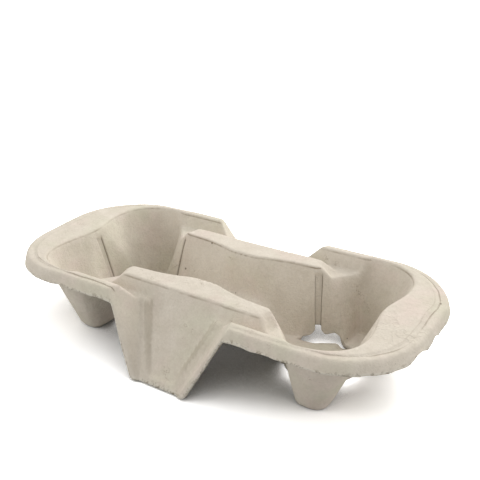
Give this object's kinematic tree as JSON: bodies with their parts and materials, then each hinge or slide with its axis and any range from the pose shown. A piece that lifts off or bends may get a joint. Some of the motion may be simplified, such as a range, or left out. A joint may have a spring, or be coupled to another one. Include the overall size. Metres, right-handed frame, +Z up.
{
  "type": "cup carrier",
  "caption": "Moulded-pulp cup carrier with lobed wells side by side, a turned-down rim, a hump and a splayed leg on each long side, and grooved ribs that grip a cup.",
  "frame": {"origin": "on the ground under the middle of the carrier", "axes": "+X along the row of wells, +Y across, +Z up"},
  "size_m": [0.2048, 0.1104, 0.037],
  "materials": {
    "pulp": "matte"
  },
  "bodies": {
    "root": {"cup_carrier": "pulp"}
  },
  "joints": []
}
